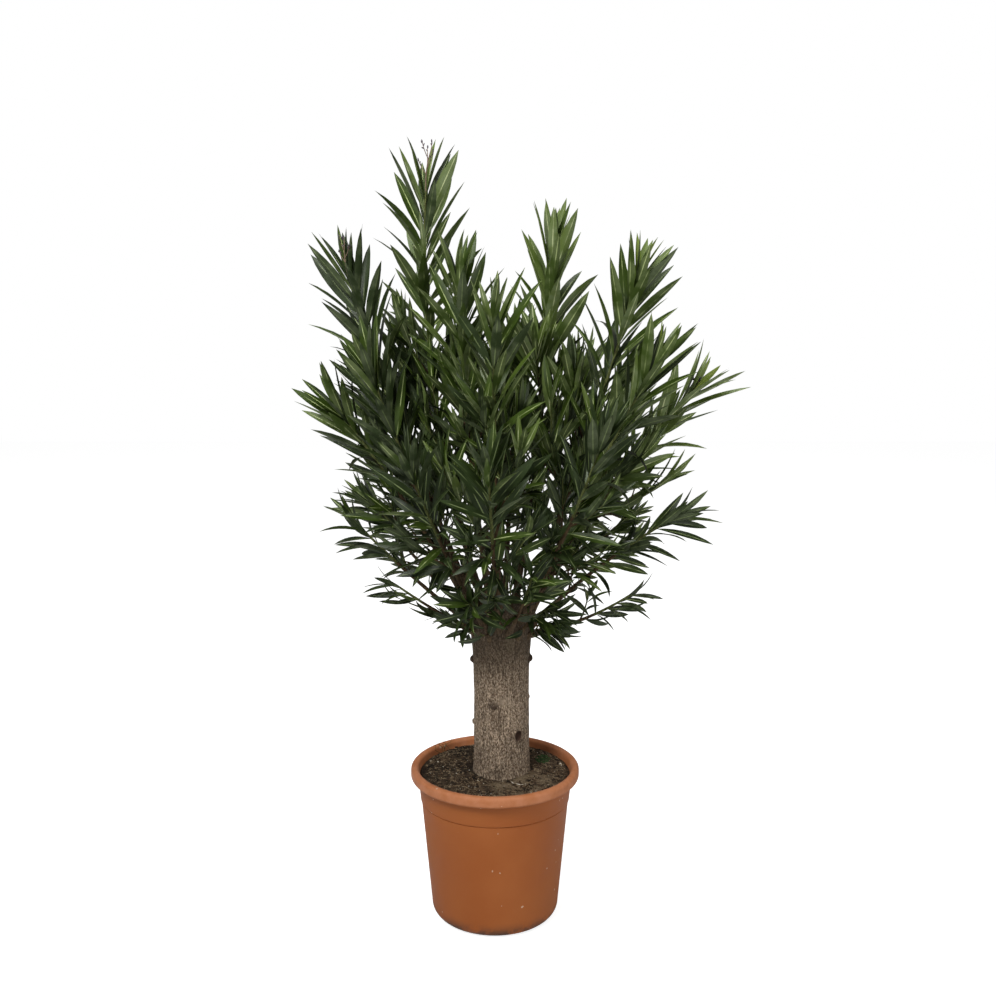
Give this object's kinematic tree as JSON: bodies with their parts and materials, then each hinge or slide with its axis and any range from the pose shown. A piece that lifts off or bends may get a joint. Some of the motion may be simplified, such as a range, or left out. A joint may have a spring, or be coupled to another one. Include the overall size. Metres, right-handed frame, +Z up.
{
  "type": "potted oleander",
  "caption": "Oleander with a thick short trunk and an open crown of upright leafy shoots, standing in a round plastic tub filled with potting compost.",
  "frame": {"origin": "middle of the tub's flat underside, at floor level", "axes": "+Z up, -Y towards the plant's front, +X to its right"},
  "size_m": [1.0241, 0.9304, 1.8044],
  "materials": {
    "pot": "satin",
    "soil": "matte",
    "bark": "matte",
    "bough": "matte",
    "leaves": "satin"
  },
  "bodies": {
    "root": {"pot": "pot", "soil": "soil", "trunk": "bark", "bough_back": "bough", "bough_back_centre": "bough", "bough_back_left": "bough", "bough_back_low_left": "bough", "bough_back_low_right": "bough", "bough_back_right": "bough", "bough_centre_front": "bough", "bough_centre_right": "bough", "bough_far_left": "bough", "bough_far_right": "bough", "bough_front": "bough", "bough_front_left": "bough", "bough_front_low": "bough", "bough_front_right": "bough", "bough_high_left": "bough", "bough_high_right": "bough", "bough_inner_left": "bough", "bough_low_left": "bough", "bough_low_right": "bough", "bough_lowest_left": "bough", "bough_lowest_right": "bough", "bough_mid_left": "bough", "bough_outer_right": "bough", "bough_tall_left": "bough", "leaves_back": "leaves", "leaves_back_centre": "leaves", "leaves_back_left": "leaves", "leaves_back_low_left": "leaves", "leaves_back_low_right": "leaves", "leaves_back_right": "leaves", "leaves_centre_front": "leaves", "leaves_centre_right": "leaves", "leaves_far_left": "leaves", "leaves_far_right": "leaves", "leaves_front": "leaves", "leaves_front_left": "leaves", "leaves_front_low": "leaves", "leaves_front_right": "leaves", "leaves_high_left": "leaves", "leaves_high_right": "leaves", "leaves_inner_left": "leaves", "leaves_low_left": "leaves", "leaves_low_right": "leaves", "leaves_lowest_left": "leaves", "leaves_lowest_right": "leaves", "leaves_mid_left": "leaves", "leaves_outer_right": "leaves", "leaves_skirt_back_left": "leaves", "leaves_skirt_back_right": "leaves", "leaves_skirt_front_left": "leaves", "leaves_skirt_front_right": "leaves", "leaves_skirt_left": "leaves", "leaves_skirt_right": "leaves", "leaves_tall_left": "leaves"}
  },
  "joints": []
}
